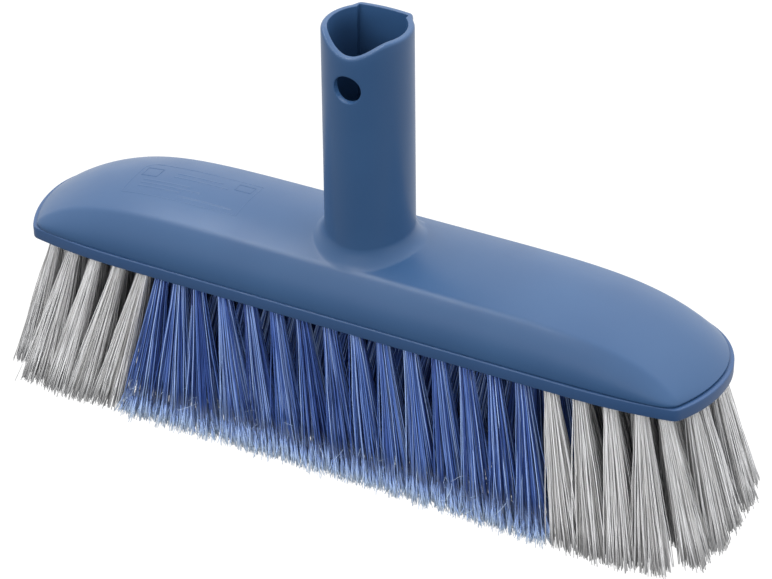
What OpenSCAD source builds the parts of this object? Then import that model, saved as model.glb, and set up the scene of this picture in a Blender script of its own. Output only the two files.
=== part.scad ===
// Household floor broom head: a hollow cover with a handle socket, snapped over
// a bristle block that carries five rows of tufts, each folded over a metal anchor.
// Units are millimetres. The origin is on the floor under the middle of the head,
// +X runs along the head, +Z up the socket and -Y is the side with the button hole.

/* [Head] */
// Length of the bristle block over its rounded ends
head_l = 290; // [280:1:320]
// Width of the bristle block
head_w = 64; // [60:0.5:72]
// Height of the band of the block that shows below the cover
band_h = 5; // [4:0.5:7]
// Plan radius of the rounded ends of the block
end_r = 50; // [44:1:70]
// Plan radius of the four corners of the block
corner_r = 4.5; // [4:0.5:8]

/* [Cover] */
// Height of the cover's crown above its edge
crown_h = 20; // [17:0.5:26]
// Height of the cover's side ridge above its edge
ridge_h = 16; // [13:0.5:17]
// Height of the upright lip at the cover's edge
lip_h = 1; // [0.6:0.1:2]
// Wall of the cover
cover_wall = 2.2; // [1.8:0.1:3]

/* [Handle socket] */
// Outside radius of the socket
socket_r = 17; // [15:0.25:19]
// Wall of the socket
socket_wall = 2.4; // [2:0.1:3]
// Height of the socket's rim above the underside of the block
socket_h = 114.7; // [100:0.5:130]
// Depth of the hollow that takes the handle
socket_depth = 100; // [80:1:102]
// Radius of the button hole
button_r = 5.4; // [4:0.1:6.5]
// Distance of the button hole below the rim
button_drop = 18.5; // [16:0.5:30]
// Depth of the dip in the rim above the button hole
dip = 6.2; // [4:0.2:9]

/* [Bristles] */
// Length of the bristles below the block
bristle_h = 62; // [45:1:80]
// Distance between tufts along a row
pitch = 11.45; // [11.3:0.05:12]
// Distance between rows
row_gap = 13.25; // [12.8:0.05:13.6]
// Radius of a tuft where it leaves the block
tuft_r = 2.25; // [1.8:0.05:2.5]
// Radius of a tuft at its tip
tip_r = 5.2; // [4:0.1:5.3]
// Rows of tufts reach this far from the middle before they change from blue to grey
blue_reach = 84.5; // [84:0.5:85.5]

/* [Hidden] */
$fn = 64;

// Levels above the floor
z_block = bristle_h;
z_part = z_block + band_h;
z_rim = z_block + socket_h;
z_socket_floor = z_rim - socket_depth;
z_button = z_rim - button_drop;

// Plan of the block: straight sides, then side arcs, corner arcs and end arcs
side_r = 225;
arc_x = head_l / 2 - end_r;
corner_y = ((side_r - corner_r)^2 - (end_r - corner_r)^2 - (side_r - head_w / 2)^2)
    / (2 * (side_r - head_w / 2));
corner_x = arc_x + sqrt((end_r - corner_r)^2 - corner_y^2);
side_turn = atan2(corner_x - arc_x, corner_y + side_r - head_w / 2);
end_turn = atan2(corner_y, corner_x - arc_x);

// Plan of the cover's edge, a little inside the block's
cover_l = head_l - 4;
cover_w = head_w - 1.4;
end_bow = 7;            // how far the middle of an end stands beyond its corners
ridge_at = 0.735;       // place of the ridge, as a share of the half width
corner_soft = 60;       // power that rounds the plan corners of the cover

// Inside the cover
deck_h = 2.5;
deck_gap = [2.4, 0.6];  // room between the deck and the inside of the cover
boss_r = 3.6;
boss_top = 12.5;        // above the underside of the block
hole_floor = 1.8;
roof_gap = 0.8;         // room between a boss and the inside of the cover
least_rise = 0.4;       // the shallowest holes still reach this far above the band
pin_r = 2;
pin_gap = 0.05;
pin_h = 13;
pin_x = [for (k = [3, 7, 10]) for (side = [-1, 1]) side * k * pitch];
rib_t = 1.6;
rib_x = [for (k = [2, 4.5, 6, 8.5]) for (side = [-1, 1]) side * k * pitch];
rib_foot = 9;           // height of the ribs' lower edges above the cover's edge

// Handle socket: round in front and at the sides, with a flat back between two corners
socket_y = -1.5;        // place of the axis of the round wall
back_y = 14.5;          // outside of the flat back wall
corner_out = [11.2, 13.4];
corner_round = 1.6;
back_wall = 2.3;
corner_in = [10, 11.3];
collar_h = 9.7;
collar_r = 6.6;
dip_turn = 60;          // angle round the socket that the rim's dip takes to each side
inner_r = socket_r - socket_wall;

// Tufts: rows 1 and 4 lean to +X, rows 2 and 5 to -X, and row 3 fans out from its middle.
// A leaning row turns round on its trailing side, where its tufts stand closer together.
lean_mid = 12.2;        // lean of most blue tufts along a leaning row
lean_lead = 14.8;       // lean of the first grey tuft on the leading side
lean_trail = -16.3;     // lean of the first grey tuft on the trailing side
lead_slope = 0.06;      // share by which the lean then falls towards the end
trail_slope = 0.036;
turn_from = 56;         // the lean starts to turn round here
turn_over = 31.5;       // and has turned round after this length
close_gap = 7.9;        // spacing where the lean turns round
trail_gap = 11;         // spacing on the trailing side
odd_grey = 85.8;        // first grey tuft on the trailing side of rows 1 and 5
odd_next = 50.8;        // first tuft at full pitch after the turn in rows 1 and 5
odd_ends = [128.6, 129.4];
even_ends = [134, 134];
out_mid = 0.33;         // share of its distance from row 3 that a tuft leans outwards
out_end = 0.17;         // and what is added to that share towards the ends
out_x = 110;
last_x = 127;           // tufts beyond this are the last of their row
draw_in = 1.5;
last_lean = [17.5, 15.5, 18, 15.5, 17.5];
last_out = [0.15, 0.3, 0, 0.3, 0.15];

// Anchors
anchor_l = 4.3;
anchor_w = 1.8;
anchor_t = 0.4;
anchor_in = 1.2;        // depth of the anchor below the end of the folded tuft
slack = 0.1;
big = 400;

// ---------------------------------------------------------------- plan and skin

function arc(c, r, a0, a1, n) =
    [for (i = [0:n]) let (a = a0 + (a1 - a0) * i / n) [c[0] + r * cos(a), c[1] + r * sin(a)]];

// One quarter of the block's plan, from the end of the straight side to the end's middle
quarter = concat(
    arc([arc_x, head_w / 2 - side_r], side_r, 90, 90 - side_turn, 5),
    arc([corner_x, corner_y], corner_r, 85 - side_turn, end_turn + 5, 5),
    arc([arc_x, 0], end_r, end_turn, 0, 6));

function flip(points, sx, sy) = [for (p = points) [p[0] * sx, p[1] * sy]];
function back(points) = [for (i = [len(points) - 1:-1:0]) points[i]];

block_plan = concat(quarter, back(flip(quarter, 1, -1)),
    flip(quarter, -1, -1), back(flip(quarter, -1, 1)));

// The cover's skin is a grid: s runs along the head and v across it, both from -1 to 1
function fall(s) = (1 - abs(s)^3)^0.6;
function dome(v) = crown_h - (crown_h - ridge_h) * (v / ridge_at)^2;
function flank(v) = ridge_h * sqrt((1 - abs(v)) / (1 - ridge_at));
function section(v) = min(dome(v), flank(v));
function half_w(s) = 1 - 0.09 * abs(s)^8 - 0.09 * abs(s)^corner_soft;
function skin_point(s, v, l, w, h) = [
    s * (l / 2 - end_bow * v * v),
    v * w / 2 * half_w(s),
    h / crown_h * fall(s) * section(v)];

// Stations crowd towards the ends and the edges, where the skin turns down fastest
function crowd(i, n) = sin(90 * (2 * i / n - 1));
function across(j, n) = let (a = 2 * j / n - 1) sign(a) * (1 - (1 - abs(a))^1.5);

module skin(l, w, h, foot, ns, nv) {
    top = [for (i = [0:ns]) for (j = [0:nv])
        let (p = skin_point(crowd(i, ns), across(j, nv), l, w, h)) p];
    row = nv + 1;
    rim = concat(
        [for (i = [0:ns]) i * row],
        [for (j = [1:nv]) ns * row + j],
        [for (i = [ns - 1:-1:0]) i * row + nv],
        [for (j = [nv - 1:-1:1]) j]);
    low = [for (k = rim) [top[k][0], top[k][1], -foot]];
    n = len(top);
    m = len(rim);
    polyhedron(concat(top, low), concat(
        [for (i = [0:ns - 1]) for (j = [0:nv - 1]) let (a = i * row + j) [a, a + 1, a + row]],
        [for (i = [0:ns - 1]) for (j = [0:nv - 1]) let (a = i * row + j) [a + 1, a + row + 1, a + row]],
        [for (k = [0:m - 1]) [rim[k], rim[(k + 1) % m], n + (k + 1) % m]],
        [for (k = [0:m - 1]) [rim[k], n + (k + 1) % m, n + k]],
        [[for (k = [m - 1:-1:0]) n + k]]));
}

// Height of the cover's skin over a place in the plan
function skin_z(x, y) =
    let (v = min(abs(y) / (cover_w / 2), 1))
    let (s = min(abs(x) / (cover_l / 2 - end_bow * v * v), 1))
    z_part + lip_h + fall(s) * section(v);

// ---------------------------------------------------------------- tufts

// A tuft is [x, y, lean along x, lean along y, height of its hole's floor]
function turn(row) = [1, -1, 0, 1, -1][row - 1];
// Lean of a tuft of a row that leans to +X
function lean_of(u) = u > blue_reach
    ? lean_lead - lead_slope * (u - blue_reach)
    : max(lean_trail + trail_slope * max(0, -u - blue_reach),
        lean_mid + (lean_trail - lean_mid) * max(0, -u - turn_from) / turn_over);
function lean_x(x, row) = abs(x) > last_x
    ? sign(x) * last_lean[row - 1]
    : turn(row) == 0
        ? sign(x) * min(lean_lead * abs(x) / blue_reach, lean_of(max(abs(x), blue_reach + 0.01)))
        : turn(row) * lean_of(turn(row) * x);
function lean_y(x, y, row) = y * (abs(x) > last_x
    ? last_out[row - 1]
    : out_mid + out_end * min(1, (x / out_x)^2));
// The rows draw together towards the ends, by more than the block's sides do
function narrow(x) = 1 - draw_in * max(0, abs(x) - arc_x)^2 / (2 * side_r * 2 * row_gap);
function floor_z(x, y) =
    let (roof = skin_z(abs(x) + boss_r - 1, abs(y) + boss_r - 2) - cover_wall - roof_gap)
    max(z_part + least_rise, min(z_block + boss_top, roof) - hole_floor);
function tuft_at(x, row) = let (y = (row - 3) * row_gap * narrow(x))
    [x, y, lean_x(x, row), lean_y(x, y, row), floor_z(x, y)];

// Places along a row that leans to +X. first is the first grey tuft on its trailing side,
// next the first of count tufts at full pitch, and ends are the two last tufts.
function leaning_row(first, next, count, ends) = concat(
    [-ends[0]],
    [for (k = [3:-1:1]) -first - k * trail_gap],
    [for (k = [0:3]) -first + k * close_gap],
    [for (k = [0:count - 1]) -next + k * pitch],
    [ends[1]]);
function upright_row() = [for (side = [-1, 1]) for (k = [0:11]) side * (k + 0.5) * pitch];
function row_x(row) = turn(row) == 0
    ? upright_row()
    : [for (u = row % 2 == 1
        ? leaning_row(odd_grey, odd_next, 16, odd_ends)
        : leaning_row(8 * pitch, 5 * pitch, 17, even_ends)) turn(row) * u];
function row_tufts(row) = [for (x = row_x(row)) tuft_at(x, row)];
function picked(row, from, to) = [for (t = row_tufts(row)) if (t[0] > from && t[0] < to) t];

// Places children at a tuft's hole floor, with +Z along the tuft to its tip
module at_tuft(t) {
    up = t[4] - z_block;
    tilt = atan2(norm([t[2], t[3]]), bristle_h);
    shift = up / bristle_h;
    translate([t[0] - t[2] * shift, t[1] - t[3] * shift, t[4]])
        rotate([0, 0, atan2(t[3], t[2])])
            rotate([0, 180 - tilt, 0])
                children();
}
function reach(t) = norm([t[2], t[3], bristle_h]) / bristle_h;

module anchor_slot(grow) {
    translate([-(anchor_l + grow) / 2, -(anchor_t + grow) / 2, anchor_in - grow / 2])
        cube([anchor_l + grow, anchor_t + grow, anchor_w + grow]);
}

module tuft(t) {
    plug = (t[4] - z_block) * reach(t);
    free = (bristle_h + tip_r) * reach(t);
    at_tuft(t) difference() {
        union() {
            translate([0, 0, slack]) cylinder(h = plug, r = tuft_r);
            translate([0, 0, plug]) cylinder(h = free, r1 = tuft_r,
                r2 = tuft_r + (tip_r - tuft_r) * (bristle_h + tip_r) / bristle_h);
        }
        anchor_slot(slack);
    }
}

module tufts(row, from, to) {
    intersection() {
        union() for (t = picked(row, from, to)) tuft(t);
        translate([-big / 2, -big / 2, 0]) cube([big, big, z_rim]);
    }
}
module left_grey(row) { color("lightgray") tufts(row, -big, -blue_reach); }
module blue(row) { color("royalblue") tufts(row, -blue_reach, blue_reach); }
module right_grey(row) { color("lightgray") tufts(row, blue_reach, big); }

module anchors(row) {
    color("silver") for (t = row_tufts(row)) at_tuft(t) anchor_slot(0);
}

// ---------------------------------------------------------------- bristle block

module deck() {
    deck_l = cover_l / 2 - cover_wall - deck_gap[0];
    deck_w = cover_w / 2 - cover_wall - deck_gap[1];
    inner = [for (p = block_plan)
        [p[0] * deck_l / (head_l / 2), p[1] * deck_w / (head_w / 2)]];
    translate([0, 0, z_block + 1]) linear_extrude(band_h + deck_h - 1) polygon(inner);
}

module tuft_boss(t) {
    at_tuft(t) translate([0, 0, -hole_floor])
        cylinder(h = (t[4] - z_block + hole_floor) * reach(t) - 1.5, r = boss_r, $fn = 32);
}

module tuft_hole(t) {
    at_tuft(t) cylinder(h = (t[4] - z_block) * reach(t) + 3, r = tuft_r + slack, $fn = 32);
}

module bristle_block() {
    color("steelblue") difference() {
        union() {
            translate([0, 0, z_block]) linear_extrude(band_h) polygon(block_plan);
            deck();
            for (row = [1:5]) for (t = row_tufts(row))
                if (t[4] + hole_floor > z_part + deck_h) tuft_boss(t);
            for (x = pin_x) translate([x, 0, z_part])
                cylinder(h = pin_h, r = pin_r - pin_gap, $fn = 32);
        }
        for (row = [1:5]) for (t = row_tufts(row)) tuft_hole(t);
    }
}

// ---------------------------------------------------------------- top cover

// A circle with its back cut flat, as far as back from the origin
module flat_backed(r, back) {
    intersection() {
        translate([0, socket_y]) circle(r);
        translate([-r, -2 * r]) square([2 * r, 2 * r + back]);
    }
}

module socket_outline() {
    flat_backed(socket_r, back_y);
    translate([-corner_out[0], 0]) square([2 * corner_out[0], corner_out[1] - corner_round]);
    translate([-corner_out[0] + corner_round, 0])
        square([2 * (corner_out[0] - corner_round), corner_out[1]]);
    for (side = [-1, 1])
        translate([side * (corner_out[0] - corner_round), corner_out[1] - corner_round])
            circle(corner_round);
}

module hollow_outline() {
    flat_backed(inner_r, back_y - back_wall);
    translate([-corner_in[0], 0]) square([2 * corner_in[0], corner_in[1]]);
}

// Concave collar that blends the socket into the crown
module collar() {
    foot = z_part + lip_h + ridge_h;
    translate([0, socket_y, 0]) rotate_extrude() polygon(concat(
        [[inner_r + 1, foot - ridge_h / 4], [inner_r + 1, foot + collar_h]],
        [for (a = [0:10:90]) [socket_r + collar_r * (1 - cos(a)), foot + collar_h * (1 - sin(a))]],
        [[socket_r + collar_r, foot - ridge_h / 4]]));
}

module socket_hollow() {
    translate([0, 0, z_socket_floor]) linear_extrude(socket_depth + 1) hollow_outline();
}

// The rim falls and rises once round the front of the socket, as a cosine of the angle
module rim_dip() {
    above = dip;
    rotate([90, 0, 0]) linear_extrude(big) polygon(concat(
        [for (a = [-dip_turn:5:dip_turn])
            [socket_r * sin(a), z_rim - dip * (1 + cos(180 * a / dip_turn)) / 2]],
        [[socket_r * sin(dip_turn), z_rim + above], [-socket_r * sin(dip_turn), z_rim + above]]));
}

module button_hole() {
    translate([0, socket_y - socket_r / 2, z_button])
        rotate([90, 0, 0]) cylinder(h = socket_r, r = button_r);
}

module ribs() {
    intersection() {
        translate([0, 0, z_part + lip_h])
            skin(cover_l - cover_wall, cover_w - cover_wall, crown_h - cover_wall / 2, 0, 24, 10);
        for (x = rib_x) translate([x - rib_t / 2, -head_w / 2, z_part + rib_foot])
            cube([rib_t, head_w, crown_h]);
    }
}

module pin_sockets() {
    for (x = pin_x) translate([x, 0, z_part + rib_foot])
        cylinder(h = skin_z(x, 0) - z_part - rib_foot - cover_wall / 2, r = pin_r + 1.7, $fn = 32);
}

module top_cover() {
    color("cornflowerblue") difference() {
        union() {
            difference() {
                translate([0, 0, z_part + lip_h]) skin(cover_l, cover_w, crown_h, lip_h, 44, 20);
                translate([0, 0, z_part + lip_h])
                    skin(cover_l - 2 * cover_wall, cover_w - 2 * cover_wall,
                        crown_h - cover_wall, lip_h + 1, 30, 14);
            }
            ribs();
            pin_sockets();
            translate([0, 0, z_socket_floor - cover_wall])
                linear_extrude(socket_depth + cover_wall) socket_outline();
            collar();
        }
        socket_hollow();
        rim_dip();
        button_hole();
        for (x = pin_x) translate([x, 0, z_part])
            cylinder(h = pin_h + 0.5, r = pin_r, $fn = 32);
    }
}

top_cover();
bristle_block();
left_grey(1);  // tufts_row1_left_grey
blue(1);  // tufts_row1_blue
right_grey(1);  // tufts_row1_right_grey
left_grey(2);  // tufts_row2_left_grey
blue(2);  // tufts_row2_blue
right_grey(2);  // tufts_row2_right_grey
left_grey(3);  // tufts_row3_left_grey
blue(3);  // tufts_row3_blue
right_grey(3);  // tufts_row3_right_grey
left_grey(4);  // tufts_row4_left_grey
blue(4);  // tufts_row4_blue
right_grey(4);  // tufts_row4_right_grey
left_grey(5);  // tufts_row5_left_grey
blue(5);  // tufts_row5_blue
right_grey(5);  // tufts_row5_right_grey
anchors(1);  // anchors_row1
anchors(2);  // anchors_row2
anchors(3);  // anchors_row3
anchors(4);  // anchors_row4
anchors(5);  // anchors_row5
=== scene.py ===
"""Looks of a household floor broom head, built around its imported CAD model.

Shapes are worked out in millimetres, in the CAD frame, and turned to metres when a mesh is made.
The places and leans of the tufts follow the CAD source's formulas. The cover and the block differ
from the CAD a little: their ends are rounded behind, the crown stays level for longer, and the
collar round the socket is smaller.
"""
import math

import bpy
import numpy as np
from mathutils import Matrix, Vector
from mathutils.geometry import delaunay_2d_cdt


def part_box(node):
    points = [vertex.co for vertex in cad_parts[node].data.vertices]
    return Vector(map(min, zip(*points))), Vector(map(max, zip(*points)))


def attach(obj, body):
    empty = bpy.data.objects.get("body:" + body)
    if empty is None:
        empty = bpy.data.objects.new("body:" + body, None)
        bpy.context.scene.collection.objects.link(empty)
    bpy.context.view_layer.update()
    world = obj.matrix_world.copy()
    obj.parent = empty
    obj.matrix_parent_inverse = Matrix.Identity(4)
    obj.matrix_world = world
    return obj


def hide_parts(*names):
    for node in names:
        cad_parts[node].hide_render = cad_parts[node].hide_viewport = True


MM = 0.001
UV_NAME = "OFBake"
rng = np.random.default_rng(20)


def node_box(node):
    """Lowest and highest corners of a CAD node, in millimetres."""
    low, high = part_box(node)
    return np.array(low) / MM, np.array(high) / MM


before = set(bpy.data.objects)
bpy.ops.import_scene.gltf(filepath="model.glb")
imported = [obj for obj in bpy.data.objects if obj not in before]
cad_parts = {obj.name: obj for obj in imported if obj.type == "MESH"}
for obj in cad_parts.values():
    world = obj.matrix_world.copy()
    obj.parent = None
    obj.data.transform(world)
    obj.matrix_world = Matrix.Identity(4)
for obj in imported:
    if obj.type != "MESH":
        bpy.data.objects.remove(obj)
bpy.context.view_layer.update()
block_low, block_high = node_box("bristle_block")
cover_low, cover_high = node_box("top_cover")

# Levels above the floor
Z_BLOCK = block_low[2]
Z_PART = cover_low[2]
Z_RIM = cover_high[2]
LIP_H = 1.0
Z_SKIN = Z_PART + LIP_H

# Cover. Its front ridge runs from RIDGE_AT to RIDGE_END, as shares of the half width, and the
# gap that shows as its parting line grows towards +X.
HEAD_L, HEAD_W = block_high[0] - block_low[0], block_high[1] - block_low[1]
COVER_L, COVER_W = cover_high[0] - cover_low[0], cover_high[1] - cover_low[1]
COVER_WALL = 2.2
CROWN_H, RIDGE_H, RIDGE_AT = 20.0, 16.0, 0.735
CROWN_POWER = 6
RIDGE_END, RIDGE_POWER, RIDGE_SOFT = 0.96, 14, 0.6
END_BOW = 7.0
NARROWING = 0.09
EDGE_GAP, EDGE_GAP_GROWS, EDGE_GAP_FROM, EDGE_GAP_OVER = 0.05, 0.3, 20, 90

# Handle socket: round in front and at the sides, with a back wall between two corners.
# COLLAR_Z is about the height at which it meets the collar.
SOCKET_R, SOCKET_WALL, SOCKET_Y = 17.0, 2.4, -1.5
SOCKET_DRAFT, COLLAR_Z = 0.0032, 95.0
SOCKET_FLOOR = Z_RIM - 100.0
BACK_Y, BACK_WALL, BACK_BOW = 14.5, 2.3, 0.009
CORNER_OUT, CORNER_OUT_SOFT = 11.4, 2.4
CORNER_IN, CORNER_IN_SOFT = 10.0, 0.05
COLLAR_OUT, COLLAR_RISE, COLLAR_POWER = 4.7, 5.8, 1.6
DIP, DIP_TURN = 5.6, math.radians(60)
ROLL_OUT, ROLL_DOWN, ROLL_IN = 1.0, 1.3, 0.25
BUTTON_R, BUTTON_Z = 5.4, Z_RIM - 18.5
BUTTON_ROLL_OUT, BUTTON_ROLL_IN = 0.32, 0.2
WINDOW_HIGH, WINDOW_TURN = 7.9, math.radians(27)

# Inside the cover. Ribs and pin sockets are SUNK into its inner skin.
RIB_T, RIB_ENDS = 1.6, 0.86
RIB_FOOT = Z_PART + 9.0
RIB_STEPS = (2, 4.5, 6, 8.5)
PIN_STEPS = (3, 7, 10)
PIN_R, PIN_TOP, PIN_SOCKET_R = 1.95, Z_PART + 13.0, 3.7
SUNK = 0.4

# Block. ROOT_R and TIP_R are the reach of a tuft's filaments at both ends.
END_R, CORNER_R, SIDE_R = 50.0, 4.5, 225.0
ARC_X = HEAD_L / 2 - END_R
DECK_TOP, DECK_GAP = Z_PART + 2.5, (2.4, 0.6)
BOSS_R, BOSS_TOP, HOLE_FLOOR = 3.6, 12.5, 1.8
ROOF_GAP, LEAST_RISE = 0.8, 0.4
FOOT_ROLL = 0.36
PITCH, ROW_GAP = 11.45, 13.25
ROOT_R, TIP_R, WIDEST_TIP, HOLE_R, MOUTH_ROLL = 2.15, 6.2, 8.6, 2.35, 0.35
HOLE_SIDES = 20

# Tufts: rows 1 and 4 lean to +X, rows 2 and 5 to -X, and row 3 fans out from its middle.
# A leaning row turns round on its trailing side, where its tufts stand closer together.
BLUE_REACH, LAST_X = 84.5, 127.0
LEAN_MID, LEAN_LEAD, LEAN_TRAIL = 12.2, 14.8, -16.3
LEAD_SLOPE, TRAIL_SLOPE = 0.06, 0.036
TURN_FROM, TURN_OVER = 56.0, 31.5
CLOSE_GAP, TRAIL_GAP = 7.9, 11.0
OUT_MID, OUT_END, OUT_X = 0.33, 0.17, 110.0
DRAW_IN = 1.5
ODD_GREY, ODD_NEXT = -85.8, -50.8
ODD_ENDS, EVEN_ENDS = (-128.6, 129.4), (-134, 134)
LAST_LEAN = (17.5, 15.5, 18.0, 15.5, 17.5)
LAST_OUT = (0.15, 0.3, 0.0, 0.3, 0.15)

# Filaments. A UV map gives each a tone below HAIR_TONE, or above it for a split end; the wide
# spread of whole filaments' tones is partly painted shade and painted highlight.
BLUE_COUNT, GREY_COUNT, HAIRS, STRAYS = 120, 230, 5, 12
HAIR_TONE, TUFT_IN, WILD_SHARE = 0.5, 3.0, 0.02
GOLDEN_ANGLE = 2.39996


# ------------------------------------------------------------------ meshes

def new_object(name, points, corners, sizes, material, smooth=True, uv=None):
    """A mesh object from points in millimetres and polygons of any size.

    corners names the points of one polygon after another, and sizes says how many each has.
    """
    mesh = bpy.data.meshes.new(name)
    mesh.vertices.add(len(points))
    mesh.vertices.foreach_set("co", (np.asarray(points) * MM).astype(np.float32).ravel())
    mesh.loops.add(len(corners))
    mesh.loops.foreach_set("vertex_index", corners.astype(np.int32))
    mesh.polygons.add(len(sizes))
    mesh.polygons.foreach_set("loop_start", np.r_[0, np.cumsum(sizes)[:-1]].astype(np.int32))
    mesh.polygons.foreach_set("use_smooth", np.full(len(sizes), smooth))
    if uv is not None:
        layer = mesh.uv_layers.new(name=UV_NAME)
        layer.data.foreach_set("uv", uv.astype(np.float32).ravel())
    mesh.update(calc_edges=True)
    mesh.materials.append(material)
    obj = bpy.data.objects.new(name, mesh)
    bpy.context.scene.collection.objects.link(obj)
    return obj


class Shell:
    """Gathers points and polygons for one mesh."""

    def __init__(self):
        self.points, self.polygons, self.count = [], [], 0

    def add(self, points):
        first = self.count
        self.points.append(np.asarray(points, float).reshape(-1, 3))
        self.count += len(self.points[-1])
        return np.arange(first, self.count)

    def strip(self, a, b, skip=()):
        """Quads between two closed loops of equal length."""
        n = len(a)
        for i in range(n):
            if i not in skip:
                j = (i + 1) % n
                self.polygons.append((a[i], a[j], b[j], b[i]))

    def stack(self, rings, skip=()):
        """Strips between loops that follow one another, without some of their quads."""
        for a, b in zip(rings[:-1], rings[1:]):
            self.strip(b, a, skip)

    def fan(self, loop, centre, inwards=False):
        """Triangles from a closed loop to a point in its middle."""
        hub = self.add([centre])[0]
        n = len(loop)
        for i in range(n):
            a, b = loop[i], loop[(i + 1) % n]
            self.polygons.append((b, a, hub) if inwards else (a, b, hub))

    def prism(self, low, high):
        """A closed prism between two loops of points, wound anticlockwise from above."""
        a, b = self.add(low), self.add(high)
        self.strip(a, b)
        self.fan(a, np.mean(low, 0), inwards=True)
        self.fan(b, np.mean(high, 0))

    def build(self, name, material, sharp_angle):
        """One object, shaded smooth except where its surface turns by more than an angle."""
        corners = np.concatenate([np.asarray(p) for p in self.polygons])
        sizes = np.array([len(p) for p in self.polygons])
        obj = new_object(name, np.concatenate(self.points), corners, sizes, material)
        obj.data.validate()
        obj.data.set_sharp_from_angle(angle=math.radians(sharp_angle))
        return obj


def circle(centre, radius, z, n):
    """Points of a level circle, anticlockwise from above."""
    turn = np.arange(n) * 2 * math.pi / n
    return np.c_[centre[0] + radius * np.cos(turn), centre[1] + radius * np.sin(turn),
                 np.full(n, z)]


# ------------------------------------------------------------------ cover's skin

def smooth_min(a, b, soft):
    """The lower of two values, blended where they are closer than soft."""
    share = np.clip(0.5 + 0.5 * (b - a) / soft, 0, 1)
    return b * (1 - share) + a * share - soft * share * (1 - share)


def fall(s):
    """Share of the crown's full height at a place along the head."""
    return 1 - np.minimum(np.abs(s), 1) ** CROWN_POWER


def section(s, v):
    """Height of the crown's cross-section. Its front ridge runs out into the front corners."""
    ridge = RIDGE_AT + np.where(v < 0, RIDGE_END - RIDGE_AT, 0) * np.abs(s) ** RIDGE_POWER
    dome = CROWN_H - (CROWN_H - RIDGE_H) * (v / ridge) ** 2
    flank = RIDGE_H * np.sqrt(np.maximum(1 - np.abs(v), 0) / (1 - ridge))
    return np.minimum(smooth_min(dome, flank, RIDGE_SOFT), flank)


def half_width(s, v):
    """Share of the half width: the front narrows towards its corners, and the back is straight."""
    slow, sudden = np.abs(s) ** 8, np.abs(s) ** 60
    return 1 - np.where(v < 0, NARROWING * (slow + sudden), 0)


def half_length(v, length, width):
    """The ends bow out in front and are fully rounded at the back."""
    rounded = width / 2 * (1 - np.sqrt(1 - np.clip(v, 0, 1) ** 2))
    return length / 2 - np.where(v < 0, END_BOW * v * v, rounded)


def skin_point(s, v, inset=0.0):
    """Points of the cover's skin, or of the skin that lies inset millimetres inside it."""
    length, width = COVER_L - 2 * inset, COVER_W - 2 * inset
    height = (CROWN_H - inset) / CROWN_H
    x = s * half_length(v, length, width)
    y = v * width / 2 * half_width(s, v)
    z = Z_SKIN + height * fall(s) * section(s, v)
    return np.stack([x, y, z], -1)


def skin_place(x, y, inset=0.0):
    """The s and v of a place in the plan, away from the cover's ends."""
    length, width = COVER_L - 2 * inset, COVER_W - 2 * inset
    s, v = x / (length / 2), y / (width / 2)
    for _ in range(12):
        v = np.clip(y / (width / 2 * half_width(s, v)), -1, 1)
        s = np.clip(x / half_length(v, length, width), -1, 1)
    return s, v


def skin_height(x, y, inset=0.0):
    """Height of the skin over a place in the plan."""
    s, v = skin_place(np.asarray(x, float), np.asarray(y, float), inset)
    return skin_point(s, v, inset)[..., 2]


def back_reach(turn, back):
    """Distance from the socket's axis to its back wall, which bows out a little in the middle."""
    up, across = np.sin(turn), np.cos(turn)
    room = back - SOCKET_Y
    reach = 2 * room / (np.maximum(up, 0.1) + np.sqrt(up ** 2 + 4 * BACK_BOW * across ** 2 * room))
    return np.where(up > 0.1, reach, 1000)


def socket_reach(turn, radius, corner_x, back, soft):
    """Distance from the socket's axis to a round wall with two back corners and a flat back."""
    side = np.where(np.sin(turn) > 0, corner_x / np.maximum(np.abs(np.cos(turn)), 0.05), 0)
    round_or_side = -smooth_min(np.full_like(turn, -radius), -side, soft)
    return smooth_min(round_or_side, back_reach(turn, back), soft)


def socket_outer(turn):
    """Reach of the socket's outside at its rim."""
    return socket_reach(turn, SOCKET_R, CORNER_OUT, BACK_Y, CORNER_OUT_SOFT)


def socket_inner(turn):
    """Reach of the socket's hollow, which is the same at every height."""
    return socket_reach(turn, SOCKET_R - SOCKET_WALL, CORNER_IN, BACK_Y - BACK_WALL,
                        CORNER_IN_SOFT)


def from_front(turn):
    """Angle between a direction and the front of the socket."""
    return np.abs((turn + math.pi / 2 + math.pi) % (2 * math.pi) - math.pi)


def rim_height(turn):
    """The rim falls and rises once round the front, as a cosine of the angle."""
    away = from_front(turn)
    dip = DIP * (1 + np.cos(math.pi * away / DIP_TURN)) / 2
    return Z_RIM - np.where(away < DIP_TURN, dip, 0)


def edge_walk():
    """Places round the cover's edge as s and v, anticlockwise from the end at +X.

    They lie close together near the socket and towards the ends.
    """
    near, fine, coarse = 46.0, 0.72, 1.8
    coarse_to, side_to, end_count = 0.82, 0.985, 47
    half = COVER_L / 2
    x = list(np.arange(0, near, fine))
    while x[-1] < half * side_to:
        x.append(x[-1] + (coarse if x[-1] < half * coarse_to else coarse * 0.5))
    side = np.array(x) / half
    side = side[side < side_to]
    side = np.r_[side, 1 - (1 - side_to) * np.array([0.6, 0.3, 0.1])]
    side = np.r_[-side[:0:-1], side]
    end = np.sin(np.linspace(-1, 1, end_count) * math.pi / 2)
    right = np.c_[np.ones(end_count), end]
    top = np.c_[side[::-1], np.ones(len(side))]
    left = np.c_[-np.ones(end_count), -end]
    bottom = np.c_[side, -np.ones(len(side))]
    return np.concatenate([right, top, left, bottom])


def polar(reach, turn, z):
    """Points at a distance and a direction from the socket's axis."""
    return np.stack([reach * np.cos(turn), SOCKET_Y + reach * np.sin(turn),
                     np.broadcast_to(z, turn.shape)], -1)


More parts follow.
